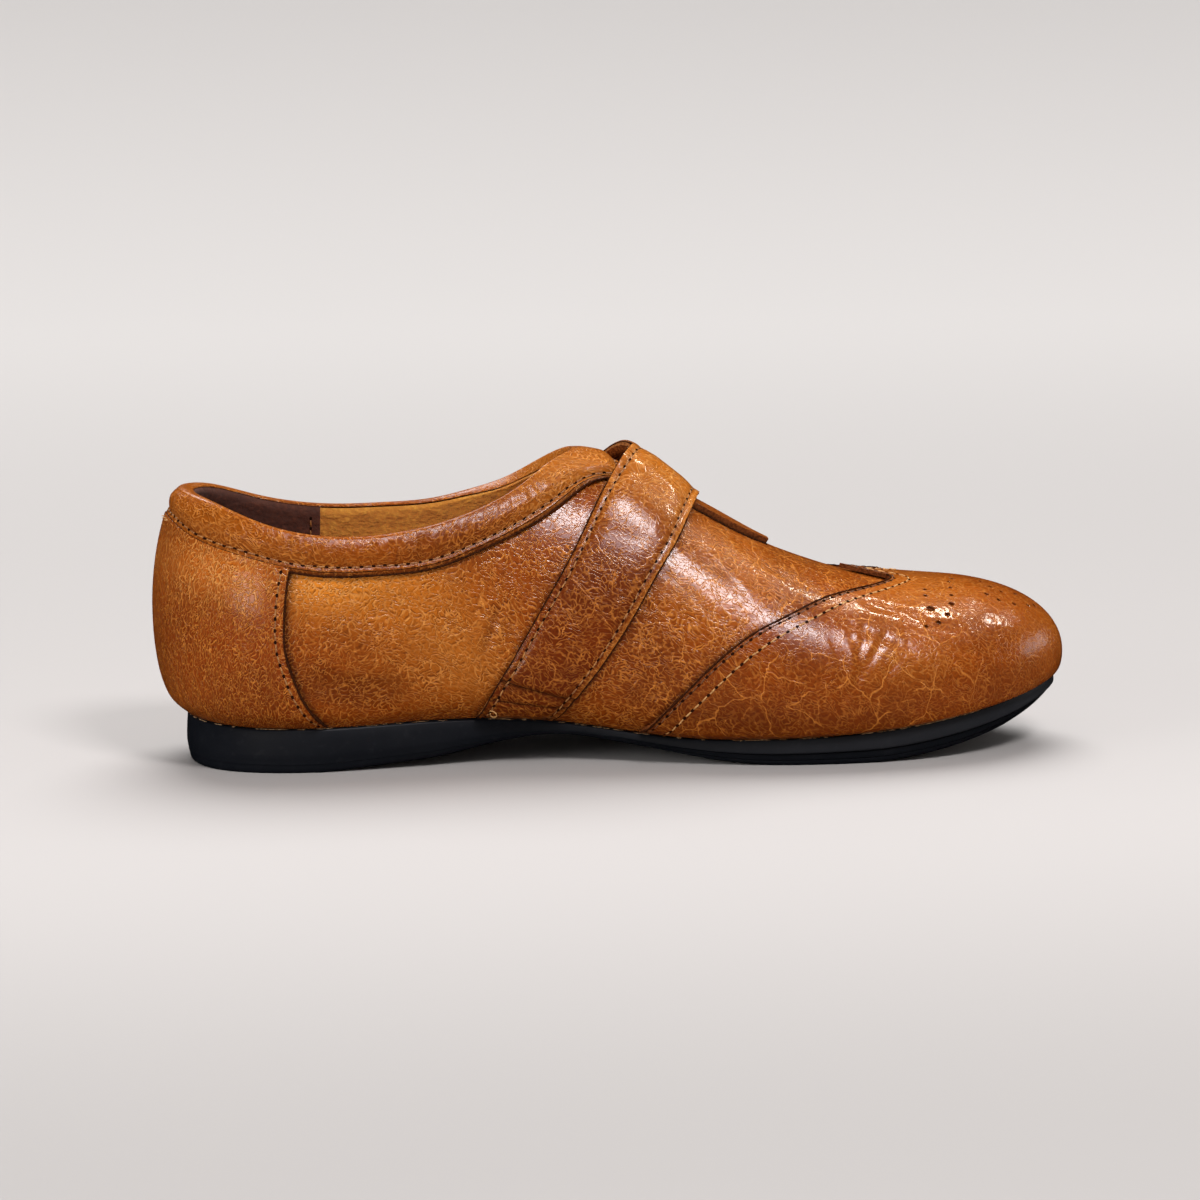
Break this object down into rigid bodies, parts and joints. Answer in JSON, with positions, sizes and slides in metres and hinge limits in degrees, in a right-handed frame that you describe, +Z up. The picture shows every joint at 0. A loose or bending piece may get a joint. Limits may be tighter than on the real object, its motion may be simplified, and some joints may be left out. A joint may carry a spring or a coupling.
{
  "type": "strap slip-on shoe",
  "caption": "Low leather slip-on shoe with a winged, punched toe cap, padded collar band, slanting instep strap and a moulded rubber sole with a low heel.",
  "frame": {"origin": "middle of the shoe's box on the floor", "axes": "+X towards the toe, +Z up, -Y towards the inner side of the foot"},
  "size_m": [0.2607, 0.0891, 0.0872],
  "materials": {
    "outsole": "satin moulded rubber, near black",
    "insole": "plain matt leather sock",
    "upper": "glossy crackled tan leather",
    "toe_cap": "glossy crackled tan leather, punched",
    "heel_counter": "glossy crackled brown leather",
    "collar_band": "padded tan leather",
    "tongue_tab": "raw-edged tan leather",
    "strap": "glossy crackled brown leather"
  },
  "bodies": {
    "root": {"outsole": "outsole", "insole": "insole", "upper": "upper", "toe_cap": "toe_cap", "heel_counter": "heel_counter", "collar_band": "collar_band", "tongue_tab": "tongue_tab", "strap": "strap"}
  },
  "joints": []
}
